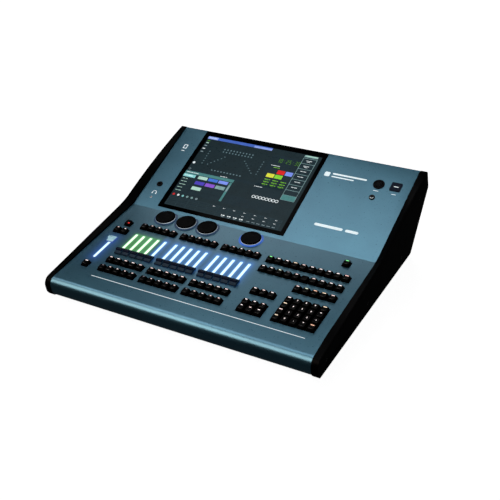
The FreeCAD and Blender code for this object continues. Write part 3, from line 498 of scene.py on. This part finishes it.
FIVE_SMALL = ["D3.6", "P3.4", "W3.6", "P3.4", "P3.8"]
FIVE_WIDE = ["P6.0", "W6.4", "P6.0", "W6.4", "P6.2"]
LEGENDS = {   # left to right; the keypad and the block of six start with their front row
    "master_red_key": ["F"],
    "master_pair_keys": ["P3.6", "W3.6"],
    "master_single_key": ["W7.0"],
    "ten_keys_upper": ["G5.6", "W5.6", "W5.2", "C7.4", "P5.6", "W5.8", "W5.8", "W5.4", "W6.0", "R7.6"],
    "ten_keys_lower": ["W5.0", "W5.2", "Y5.0", "D4.6", "P5.0", "", "P5.8", "W5.8", "W6.0", "W6.2"],
    "five_keys": ["P5.6", "Y5.8", "O7.0", "C7.4", "P6.6"],
    "three_keys": ["W5.4", "P5.4", "W5.6"],
    "six_keys": ["W4.4", "P4.4", "W4.4", "W4.4", "W4.4", "P4.4"],
    "keypad_keys": ["C6.6", "W_0", "W_-", "W2.0", "O7.6", "P7.0", "W_1", "W_2", "W_3", "W_+",
                    "C6.6", "W_4", "W_5", "W_6", "W3.0", "W6.2", "W_7", "W_8", "W_9", "C7.4"],
    "green_key": ["G7.0"],
}


def key_bank(node):
    low, high = local_box(node, LOWER)
    columns = round((high.x - low.x - KEY_BASE) / PITCH) + 1
    rows = round((high.y - low.y - KEY_BASE) / ROW_PITCH) + 1
    signs = LEGENDS.get(node, FIVE_WIDE if node.startswith("middle") else FIVE_SMALL)
    shape = Shape(node + "_look", LOWER, [KEY])
    for row in range(rows):
        for column in range(columns):
            u, v = low.x + KEY_BASE / 2 + column * PITCH, low.y + KEY_BASE / 2 + row * ROW_PITCH
            keycap(shape, u, v)
            legend(shape, u, v, signs[row * columns + column])
    shape.done(node, "key_black", node)


# ---- faders ------------------------------------------------------------------------------------------

def fader_cap(node):
    u, v = middle(node, LOWER)
    pale = node == "master_fader"
    # The skirt's lighter tone is a painted highlight, the top's darker tone is painted shade, and the master cap's
    # dark blue foot is a painted shadow with a painted glow.
    top_paint, skirt_paint, side_paint = (
        (CAP_PALE, CAP_PALE, CAP_PALE_FOOT_SHADE) if pale else (CAP_TOP_SHADE, CAP_HIGHLIGHT_AND_LINE, CAP_SMOKE))
    shape = Shape(node + "_look", LOWER, [side_paint])
    # the side view: half depth, height, half width, corner radius
    foot = [(9.9, 0.5, 8.45, 0.8), (10.0, 1.0, 8.6, 1.0), (10.0, 2.6, 8.6, 1.2), (9.6, 3.1, 8.25, 1.4)]
    dish = [(8.6, 3.15, 7.9, 1.4), (5.4, 3.9, 7.7, 1.2), (3.7, 5.6, 7.65, 0.9)]
    ridge = [(2.9, 7.9, 7.6, 0.7), (2.5, 8.6, 7.4, 0.6), (2.1, 8.8, 7.1, 0.5)]

    def rings(rows):
        return [[(u + x, v + y, height) for x, y in rounded(half_x, half_y, radius)]
                for half_y, height, half_x, radius in rows]

    shape.skin(rings(foot), side_paint, top=False, bottom=True)
    shape.skin(rings([foot[-1]] + dish), skirt_paint, top=False)
    shape.skin(rings([dish[-1]] + ridge), top_paint)
    # a thin line across the top of each cap, in the tone of the painted highlight
    shape.bar(u, v, 15.0, 0.6, 8.4, 8.85, CAP_HIGHLIGHT_AND_LINE, 0.25)
    bmesh.ops.remove_doubles(shape.mesh, verts=shape.mesh.verts, dist=1e-4)
    shape.slab(rounded(0.6, 3.0, 0.2), -9.0, 0.6, SOCKET, (u, v))
    shape.done(node, "pale_cap" if pale else "dark_cap", node)


def light_guides():
    """The lit strips that fill the slots: green for the first faders, blue-white for the others."""
    shape = Shape("slot_lights", LOWER, [GUIDE_GREEN, GUIDE_BLUE])
    slots = []
    for number in range(1, 16):
        u = middle(f"playback_fader_{number:02d}", LOWER)[0]
        slots.append((u, FADER_FRONT + TRAVEL / 2, GUIDE_GREEN if number <= GREEN_FADERS else GUIDE_BLUE))
    slots.append((MASTER_FADER, MASTER_BACK - TRAVEL / 2, GUIDE_BLUE))
    for u, v, paint in slots:
        # a slit is left along the middle for the stem of the cap
        for side in (-1, 1):
            shape.bar(u + side * 1.69, v, 2.02, SLOT_LIGHT, -2.6, -0.15, paint, 0.7)
    shape.done("desk", "clear_guide", "fader_light_guides")


# ---- wheels ------------------------------------------------------------------------------------------

def wheel(node):
    """A dark disc with a knurled edge, a finger dimple and, near its foot, a pale band that glows as a painted
    highlight.
    """
    low, high = local_box(node, LOWER)
    u, v = middle(node, LOWER)
    reach, top = (high.x - low.x) / 2, high.z
    shape = Shape(node + "_look", LOWER, [WHEEL, RIM_HIGHLIGHT])
    hub = [(3.0, low.z), (3.0, -4.6), (6.5, -4.6), (6.5, 1.2), (reach - 0.5, 1.2)]
    # the pale band round the foot of the wall is a painted highlight
    rim = [(reach - 0.5, 1.2), (reach - 0.1, 1.3), (reach, 1.5), (reach, 2.0), (reach - 0.2, 2.15)]
    crown = [(reach - 0.2, 2.15), (reach - 0.15, 2.4), (reach - 0.15, top - 1.3), (reach - 0.35, top - 0.6),
             (reach - 0.9, top - 0.15), (reach - 1.8, top - 0.02), (reach - 3.2, top - 0.05),
             (reach - 3.8, top - 0.3), (reach - 4.4, top - 0.4)]
    crown += [(reach - 4.4 - 0.8 * k, top - 0.4) for k in range(1, 24)]
    spokes = 128
    for profile, paint in ((hub, WHEEL), (rim, RIM_HIGHLIGHT), (crown, WHEEL)):
        rings = []
        for radius, height in profile:
            ring = []
            for k in range(spokes):
                angle = 2 * math.pi * k / spokes
                knurled = paint is WHEEL and height > 2.6 and radius > reach - 0.4
                grip = 0.16 if knurled and k % 4 < 2 else 0.0
                x, y = (radius - grip) * math.cos(angle), (radius - grip) * math.sin(angle)
                away = math.hypot(x, y - DIMPLE_OFFSET) / DIMPLE_RADIUS
                dip = 0.6 * (1 - away * away) ** 2 if away < 1 and height > top - 0.5 else 0.0
                ring.append((u + x, v + y, height - dip))
            rings.append(ring)
        shape.skin(rings, paint, top=profile is crown, bottom=profile is hub)
    bmesh.ops.remove_doubles(shape.mesh, verts=shape.mesh.verts, dist=1e-4)
    shape.done(node, "wheel_black", node)


def wheel_rings():
    """The light rings under the wheels. The fourth one shines bluer."""
    piece = polished("wheel_light_rings", RING, 0.25)
    piece.data.materials.append(RING_BLUE)
    fourth = local_box("wheel_4", LOWER)
    edge = (LOWER @ Vector((fourth[0].x - 10.0, 0, 0))).x
    for face in piece.data.polygons:
        if face.center.x > edge:
            face.material_index = 1


# ---- display -----------------------------------------------------------------------------------------

UI = {
    "face": lit("ui_face", (0.005, 0.016, 0.021), 1.0, 0.06, 0.12, 40.0),
    "dark": lit("ui_dark", (0.005, 0.017, 0.024), 1.0, 0.06, 0.12, 40.0),
    "bar": lit("ui_title", (0.05, 0.12, 0.48), 1.0, 0.06),
    "light": lit("ui_title_light", (0.24, 0.34, 0.78), 1.0, 0.06),
    "teal": lit("ui_teal", (0.06, 0.20, 0.20), 1.0, 0.06),
    "cyan": lit("ui_cyan", (0.24, 0.60, 0.60), 1.0, 0.06),
    "row": lit("ui_row", (0.006, 0.019, 0.026), 1.0, 0.06),
    "tool": lit("ui_tool", (0.011, 0.028, 0.036), 1.0, 0.06),
    "white": lit("ui_white", (0.80, 0.88, 0.90), 1.0, 0.06),
    "grey": lit("ui_grey", (0.22, 0.30, 0.33), 1.0, 0.06),
    "mint": lit("ui_mint", (0.42, 0.66, 0.56), 1.0, 0.06),
    "blue": lit("ui_blue", (0.05, 0.16, 0.62), 1.0, 0.06),
    "sky": lit("ui_sky", (0.19, 0.28, 0.82), 1.0, 0.06),
    "indigo": lit("ui_indigo", (0.07, 0.05, 0.46), 1.0, 0.06),
    "purple": lit("ui_purple", (0.24, 0.09, 0.60), 1.0, 0.06),
    "slate": lit("ui_slate", (0.055, 0.11, 0.13), 1.0, 0.06),
    "sage": lit("ui_sage", (0.20, 0.34, 0.34), 1.0, 0.06),
    "outline": lit("ui_outline", (0.20, 0.33, 0.34), 1.0, 0.06),
    "green": lit("ui_green", (0.07, 0.22, 0.012), 1.0, 0.06),
    "lime": lit("ui_lime", (0.22, 0.62, 0.03), 1.0, 0.06),
    "red": lit("ui_red", (0.66, 0.012, 0.012), 1.0, 0.06),
    "yellow": lit("ui_yellow", (0.70, 0.72, 0.05), 1.0, 0.06),
}


class Picture(Shape):
    """Flat lit marks on the display, in layers a hair's breadth apart."""

    def box(self, left, low, right, high, paint, layer=1, radius=0.0):
        top = self.level + 0.03 * layer
        across, up = (right - left) / 2, (high - low) / 2
        outline = [(across, -up), (across, up), (-across, up), (-across, -up)]
        if radius:
            outline = rounded(across, up, radius, 2)
        corners = [self.mesh.verts.new((left + across + x, low + up + y, top)) for x, y in outline]
        self.mesh.faces.new(corners).material_index = self.index(UI[paint])

    def dot(self, u, w, radius, paint, layer=2, inner=0.0):
        top = self.level + 0.03 * layer
        count = 16
        turns = [2 * math.pi * k / count for k in range(count)]

        def circle(reach):
            places = [(u + reach * math.cos(a), w + reach * math.sin(a), top) for a in turns]
            return [self.mesh.verts.new(place) for place in places]

        outer = circle(radius)
        slot = self.index(UI[paint])
        if not inner:
            self.mesh.faces.new(outer).material_index = slot
            return
        hole = circle(inner)
        for k in range(count):
            n = (k + 1) % count
            self.mesh.faces.new((outer[k], outer[n], hole[n], hole[k])).material_index = slot

    def clock_digit(self, left, w, sign):
        """A digit of a seven-segment clock, or the two dots between digits."""
        wide, tall, line = 4.6, 12.0, 0.9
        if sign == ":":
            for up in (3.4, 8.0):
                self.box(left + 1.8, w + up, left + 2.8, w + up + 1.0, "green", 3)
            return
        half = tall / 2
        spots = {"a": (0, tall - line, wide, tall), "d": (0, 0, wide, line),
                 "g": (0, half - line / 2, wide, half + line / 2), "b": (wide - line, half, wide, tall),
                 "c": (wide - line, 0, wide, half), "e": (0, 0, line, half), "f": (0, half, line, tall)}
        for name in {"0": "abcdef", "1": "bc", "2": "abged", "3": "abgcd", "5": "afgcd"}[sign]:
            a, b, c, d = spots[name]
            self.box(left + a, w + b, left + c, w + d, "green", 3)

    def dashes(self, left, w, widths, paint, height=1.4, gap=1.2, layer=3):
        for width in widths:
            self.box(left, w - height / 2, left + width, w + height / 2, paint, layer)
            left += width + gap


def title_and_icons(shape):
    """The title bar and the icons at the left."""
    shape.box(76.5, 238.0, 253.0, 246.4, "bar")
    shape.box(76.5, 238.0, 104.5, 246.4, "light", 2)
    shape.box(205.0, 238.0, 253.0, 244.0, "light", 2)
    shape.dashes(80.0, 242.2, [6, 4, 8], "white", 1.2)
    for w, paint in ((232.0, "green"), (225.0, "mint"), (215.5, "grey"), (205.5, "white"), (195.0, "grey")):
        shape.box(77.5, w - 2.6, 88.5, w + 2.6, "row", 2, 0.8)
        shape.box(79.5, w - 1.3, 86.5, w + 1.3, paint, 3, 0.5)
    shape.dot(82.0, 157.0, 3.4, "white")
    shape.dot(82.0, 136.5, 3.0, "grey", inner=2.2)
    shape.box(76.5, 128.0, 332.0, 136.0, "dark", 1)


def fixture_symbols(shape):
    """Two columns of symbols, two slanted runs between them and rows at the top and bottom."""
    spots = [(103.0, 160.0 + 8.0 * k) for k in range(6)] + [(250.0, 160.0 + 8.0 * k) for k in range(6)]
    spots += [(118.0 + 6.4 * k, 160.0 + 6.2 * k) for k in range(6)]
    spots += [(236.0 - 6.4 * k, 160.0 + 6.2 * k) for k in range(6)]
    for u, w in spots:
        shape.dot(u, w, 1.9, "slate", inner=1.2)
        shape.box(u - 0.8, w - 0.4, u + 0.8, w + 0.4, "grey", 3)
    for k in range(10):
        u = 138.0 + 8.5 * k
        for w in (214.0, 206.0):
            shape.box(u - 1.9, w - 2.2, u + 1.9, w + 2.2, "slate", 2, 0.6)
            shape.box(u - 0.8, w - 0.7, u + 0.8, w + 0.7, "grey", 3)
        shape.box(u - 2.2, 143.2, u + 2.2, 146.8, "slate", 2, 0.6)
        shape.box(u - 1.2, 144.4, u + 1.2, 145.6, "grey", 3)
    shape.dashes(168.0, 132.5, [5, 8, 3], "white", 1.4)


def list_and_swatches(shape):
    """The list, its coloured swatches and the round marks under them."""
    shape.box(76.5, 60.0, 208.0, 121.0, "dark")
    shape.box(76.5, 121.5, 208.0, 130.0, "teal", 2)
    shape.dashes(80.0, 125.8, [10, 6, 14], "white", 1.4)
    shape.box(76.5, 111.0, 109.0, 120.0, "cyan", 2)
    shape.dashes(80.0, 115.5, [8, 12], "white", 1.4)
    for k, w in enumerate((105.0, 96.0, 86.5, 77.0, 67.5)):
        shape.box(77.0, w - 3.8, 109.0, w + 3.8, "row", 2)
        shape.dashes(80.0, w, [7, 5 + 2 * (k % 3)], "mint", 1.3)
    columns = ((117.0, 142.0), (145.0, 170.0), (172.5, 197.5))
    for (a, b), paints in zip(columns, (("mint", "indigo", "mint"), ("blue", "purple", "row"),
                                        ("sky", "sage", "row"))):
        for (c, d), paint in zip(((111.0, 120.0), (94.0, 104.0), (77.0, 87.0)), paints):
            shape.box(a, c, b, d, paint, 2, 0.8)
        shape.box(a, 63.0, b, 70.0, "row", 2, 0.8)
    shape.box(201.0, 62.0, 207.0, 120.0, "teal", 2)
    shape.box(202.2, 92.0, 205.8, 112.0, "grey", 3, 0.8)
    for k, paint in enumerate(("red", "white", "cyan", "sage", "sage", "grey")):
        shape.dot(84.0 + 12.4 * k, 53.5, 3.0, paint, inner=1.7)
        shape.box(82.6 + 12.4 * k, 52.4, 85.4 + 12.4 * k, 54.4, paint, 3)


def toolbars(shape):
    """The rows of cells along the bottom."""
    for row, w in enumerate((41.5, 31.5, 21.5)):
        shape.box(76.5, w - 0.8, 372.0, w + 7.2, "tool", 1)
        for k in range(11):
            a = 79.0 + 26.6 * k
            shape.box(a, w + 0.4, a + 24.6, w + 6.2, "row", 2, 0.8)
            if row == 0 and k > 3:
                shape.dashes(a + 10.0, w + 3.3, [3, 1], "white", 1.4)
            elif row == 1 and k > 6:
                shape.dashes(a + 10.0, w + 3.3, [3, 1], "white", 1.4)
    for k in range(4):
        shape.dashes(227.0 + 15.6 * k, 26.0, [3.2, 4.4], "white", 2.6)
        shape.dashes(229.0 + 15.6 * k, 22.0, [6], "grey", 1.4)
    for k in range(6):
        shape.dashes(293.0 + 12.6 * k, 25.0, [3, 3], "grey", 1.8)


def clock_and_figures(shape):
    """The clock, the swatches, the lines of figures and the rings at the right."""
    shape.box(262.0, 100.0, 334.0, 228.0, "dark")
    for k, digit in enumerate("10:25:30"):
        shape.clock_digit(281.5 + 7.4 * k, 207.5, digit)
    for a, b, c, d, paint in ((296.0, 173.0, 315.0, 185.0, "red"), (317.0, 173.0, 335.0, 185.0, "sky"),
                              (275.0, 159.0, 294.0, 170.5, "yellow"), (296.0, 159.0, 315.0, 170.5, "lime"),
                              (317.0, 159.0, 335.0, 170.5, "row"), (275.0, 173.0, 294.0, 185.0, "row")):
        shape.box(a, b, c, d, paint, 2, 0.8)
    shape.dashes(272.0, 196.0, [4, 9, 7], "white", 1.3)
    shape.dashes(281.0, 190.5, [8, 6], "lime", 1.3)
    for w in (152.0, 144.5, 137.0):
        for a in (276.0, 296.5, 317.0):
            shape.dashes(a, w, [9, 4], "lime", 1.5)
            shape.box(a + 2.0, w - 3.4, a + 10.0, w - 2.6, "green", 3)
    shape.dashes(262.0, 126.0, [3, 9, 6], "white", 1.4)
    for k in range(8):
        shape.dot(275.0 + 8.4 * k, 96.0, 4.3, "white", 3, inner=3.0)
    shape.box(212.0, 60.0, 334.0, 86.0, "dark")


def menu_column(shape):
    """The column of outlined boxes at the far right."""
    shape.box(338.0, 104.0, 373.0, 236.0, "outline", 1, 0.8)
    shape.box(338.8, 119.5, 372.2, 134.0, "row", 2)
    for k in range(6):
        w = 135.0 + 16.8 * k
        shape.box(339.0, w, 372.0, w + 15.8, "row", 2, 0.6)
        shape.dashes(348.0, w + 9.2, [6, 7], "white", 1.5)
        if k > 3:
            shape.dashes(351.0, w + 5.6, [8], "white", 1.2)
    shape.box(338.0, 238.5, 372.0, 244.5, "sage", 2, 0.6)
    shape.box(341.0, 241.5, 371.0, 244.0, "mint", 3, 0.6)
    shape.box(338.8, 104.6, 372.2, 119.0, "teal", 2, 0.6)


def display_picture():
    """The lit picture, a little above the glass and inside the border of the display's module."""
    low, high = local_box("display_module", SCREEN)
    border = 11.0
    shape = Picture("display_picture", SCREEN, [])
    shape.level = local_box("touch_glass", SCREEN)[1].z + 0.02
    shape.box(low.x + border, low.y + border, high.x - border, high.y - border, "face", 0)
    for section in (title_and_icons, fixture_symbols, list_and_swatches,
                    toolbars, clock_and_figures, menu_column):
        section(shape)
    shape.done("desk", "display")


# ---- printed marks on the panels ---------------------------------------------------------------------

def band(centre, outer, inner, turns):
    """The outline of a flat arc between two radii."""
    arc = [(centre[0] + outer * math.cos(a), centre[1] + outer * math.sin(a)) for a in turns]
    return arc + [(centre[0] + inner * math.cos(a), centre[1] + inner * math.sin(a)) for a in reversed(turns)]


def panel_marks():
    """The white line before the keys and plain shapes where a maker would print words. The print glows, which is
    painted light.
    """
    line = Shape("front_line", LOWER, [WHITE_GLOW])
    line.bar(324.2, 33.0, 498.6, 1.4, 0.0, 0.06, WHITE_GLOW, 0.4)
    line.done("desk", "panel_paint")
    marks = Shape("screen_marks", SCREEN, [WHITE_GLOW])

    def bar(u, v, width, depth, radius):
        marks.bar(u, v, width, depth, 0.0, 0.06, WHITE_GLOW, radius)

    # an outlined square with a bar under it, left of the display
    for across, up, width, depth in ((-4.2, 0.0, 1.9, 13.0), (4.2, 0.0, 1.9, 13.0),
                                     (0.0, 5.6, 10.3, 1.9), (0.0, -5.6, 10.3, 1.9)):
        bar(JACK[0] + across, 201.0 + up, width, depth, 0.6)
    bar(JACK[0], 187.0, 9.0, 2.0, 0.9)
    # a square and two bars, and lower down two wide bars, right of the display
    bar(411.0, 203.5, 13.0, 13.0, 3.0)
    bar(464.0, 207.5, 82.0, 4.6, 2.2)
    bar(450.0, 199.0, 54.0, 3.2, 1.5)
    bar(475.0, 61.0, 66.0, 7.0, 3.4)
    bar(529.0, 61.0, 30.0, 7.0, 3.4)
    # a short bar under the lamp socket and another under the square socket
    bar(LAMP_MIDDLE[0], LAMP_MIDDLE[1] - 19.0, 12.0, 1.4, 0.6)
    bar(USB_MIDDLE[0] + 2.0, USB_MIDDLE[1] - 21.0, 10.0, 1.4, 0.6)
    # a pair of headphones above the small socket
    u, v = MINI_JACK[0] + 0.5, MINI_JACK[1] + 15.5
    marks.slab(band((u, v), 5.4, 4.2, [math.pi * k / 12 for k in range(13)]), 0.0, 0.06, WHITE_GLOW)
    for side in (-1, 1):
        bar(u + side * 4.8, v - 2.3, 2.4, 4.8, 0.9)
    marks.done("desk", "panel_paint")


def small_details():
    """Small metal and glowing details on the sockets and the button. The glow of the USB socket's white insert is
    painted light, and the arc on the button is a painted highlight.
    """
    shape = Shape("socket_details", SCREEN, [STEEL])
    for (u, v), radius, bore, top in ((JACK, 5.4, 3.6, 1.9), (MINI_JACK, 2.7, 2.0, 0.25)):
        count, soft = 32, 0.3
        turns = [2 * math.pi * k / count for k in range(count)]
        rings = []
        for reach, height in ((radius, 0.0), (radius, top - soft), (radius - soft, top),
                              (bore + 0.2, top), (bore, top - soft)):
            rings.append([(u + reach * math.cos(a), v + reach * math.sin(a), height) for a in turns])
        shape.skin(rings, STEEL if radius < 4 else SOCKET, top=False)
    # the USB socket's white insert, glowing as painted light
    shape.bar(USB_MIDDLE[0], USB_MIDDLE[1] + 1.2, 10.6, 1.5, -0.3, 0.5, WHITE_GLOW, 0.2)
    shape.done("desk", "socket_black")
    # a pale arc on the button's top, a painted highlight
    mark = Shape("button_highlight", SCREEN, [WHITE_GLOW])
    sweep = [math.radians(200 + 15 * k) for k in range(11)]
    mark.slab(band(BUTTON_MIDDLE, 4.4, 3.4, sweep), 1.9, 2.06, WHITE_GLOW)
    mark.done("power_button", "button_black")


def rear_fittings():
    """The mains inlet that shows outside is black plastic, though its supply's case is bare steel."""
    supply = bpy.data.objects["power_supply_look"]
    supply.data.materials.append(SOCKET)
    low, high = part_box("power_supply")
    for face in supply.data.polygons:
        if face.center.y > low.y + 0.64 * (high.y - low.y) and face.area < 0.0015:
            face.material_index = 1


# ---- camera, lights and floor ------------------------------------------------------------------------

def area_light(name, place, target, width, depth, power, gloss_only=False, colour=(1, 1, 1)):
    """A softbox. One that is gloss-only shows as a reflection, but lights no matt surface."""
    data = bpy.data.lights.new(name, "AREA")
    data.shape, data.size, data.size_y, data.energy = "RECTANGLE", width, depth, power
    data.color = colour
    lamp = bpy.data.objects.new(name, data)
    bpy.context.scene.collection.objects.link(lamp)
    lamp.location = place
    lamp.rotation_euler = (Vector(target) - Vector(place)).to_track_quat("-Z", "Y").to_euler()
    lamp.visible_diffuse = not gloss_only


def studio():
    """The camera of the photograph, a pale floor and backdrop, and the softboxes."""
    scene = bpy.context.scene
    camera = bpy.data.objects.new("camera", bpy.data.cameras.new("camera"))
    scene.collection.objects.link(camera)
    camera.location = (0.84146, -1.35101, 1.03431)
    camera.rotation_euler = Euler([math.radians(a) for a in (57.846, 3.0996, 29.3341)])
    camera.data.lens, camera.data.sensor_width = 61.834, 36.0
    camera.data.clip_start, camera.data.clip_end = 0.05, 50.0
    scene.camera = camera
    scene.view_settings.view_transform = "Standard"

    bpy.ops.mesh.primitive_plane_add(size=30.0, location=(0, 0, -0.0002))
    floor = bpy.context.object
    floor.name = "floor"
    made = Nodes("floor_white")
    made.shader.inputs["Base Color"].default_value = (0.9, 0.9, 0.9, 1)
    made.put(made.shader.inputs["Roughness"], made.ramp(made.noise(3.0), 0.3, 0.7, 0.75, 0.85))
    made.shader.inputs["Specular IOR Level"].default_value = 0.1
    made.shader.inputs["Emission Color"].default_value = (1, 1, 1, 1)
    made.shader.inputs["Emission Strength"].default_value = 0.96
    floor.data.materials.append(made.material)
    bpy.ops.mesh.primitive_uv_sphere_add(segments=48, ring_count=24, radius=14.0)
    backdrop = bpy.context.object
    backdrop.name = "backdrop"
    backdrop.data.materials.append(made.material)
    backdrop.visible_shadow = False
    for thing in (floor, backdrop):
        thing.visible_diffuse = False
        thing.visible_glossy = False

    world = bpy.data.worlds.new("studio")
    scene.world = world
    world.use_nodes = True
    sky = world.node_tree.nodes["Background"]
    sky.inputs["Color"].default_value = (0.94, 0.97, 1, 1)
    sky.inputs["Strength"].default_value = 0.04
    area_light("rear_softbox", (-1.0, 2.15, 1.65), (0, 0.1, 0.1), 1.8, 1.0, 12.0)
    area_light("top_softbox", (-0.4, 0.2, 1.95), (-0.4, 0.25, 0), 1.7, 1.2, 24.0, True)
    area_light("side_softbox", (-1.5, 0.0, 1.95), (-1.5, 0.1, 0), 0.8, 0.5, 9.0, True)
    area_light("front_strip", (-0.95, -1.25, 1.4), (-0.9, -0.6, 0.46), 2.1, 1.3, 66.0, True,
               (1.0, 0.84, 0.72))


# ---- the whole desk ----------------------------------------------------------------------------------

studio()
polished("lower_panel", PAINT, 0.35)
polished("screen_panel", PAINT, 0.35)
polished("left_cheek", CHEEK, 1.0)
polished("right_cheek", CHEEK, 1.0)
polished("cheek_screws", ZINC, 0.3)
polished("base_pan", POWDER, 0.3)
polished("rear_panel", POWDER, 0.3)
polished("touch_glass", GLASS, 0.35)
polished("headphone_sockets", SOCKET, 0.25)
polished("lamp_socket", SOCKET, 0.3)
polished("output_sockets", SOCKET, 0.3)
polished("usb_socket", SOCKET_BLUE, 0.3)
polished("power_button", BUTTON, 0.0, "power_button")
polished("rubber_feet", RUBBER, 0.4)
for name, paint in (("display_module", BARE), ("fader_tracks", BARE), ("control_board", BOARD),
                    ("main_board", BOARD), ("power_supply", BARE)):
    polished(name, paint, 0.2)
rear_fittings()
for node in sorted(frame["nodes"]):
    if node.endswith("_key") or "_keys" in node:
        key_bank(node)
    elif node.startswith("playback_fader") or node == "master_fader":
        fader_cap(node)
    elif node.startswith("wheel_") and node != "wheel_light_rings":
        wheel(node)
light_guides()
wheel_rings()
display_picture()
panel_marks()
small_details()
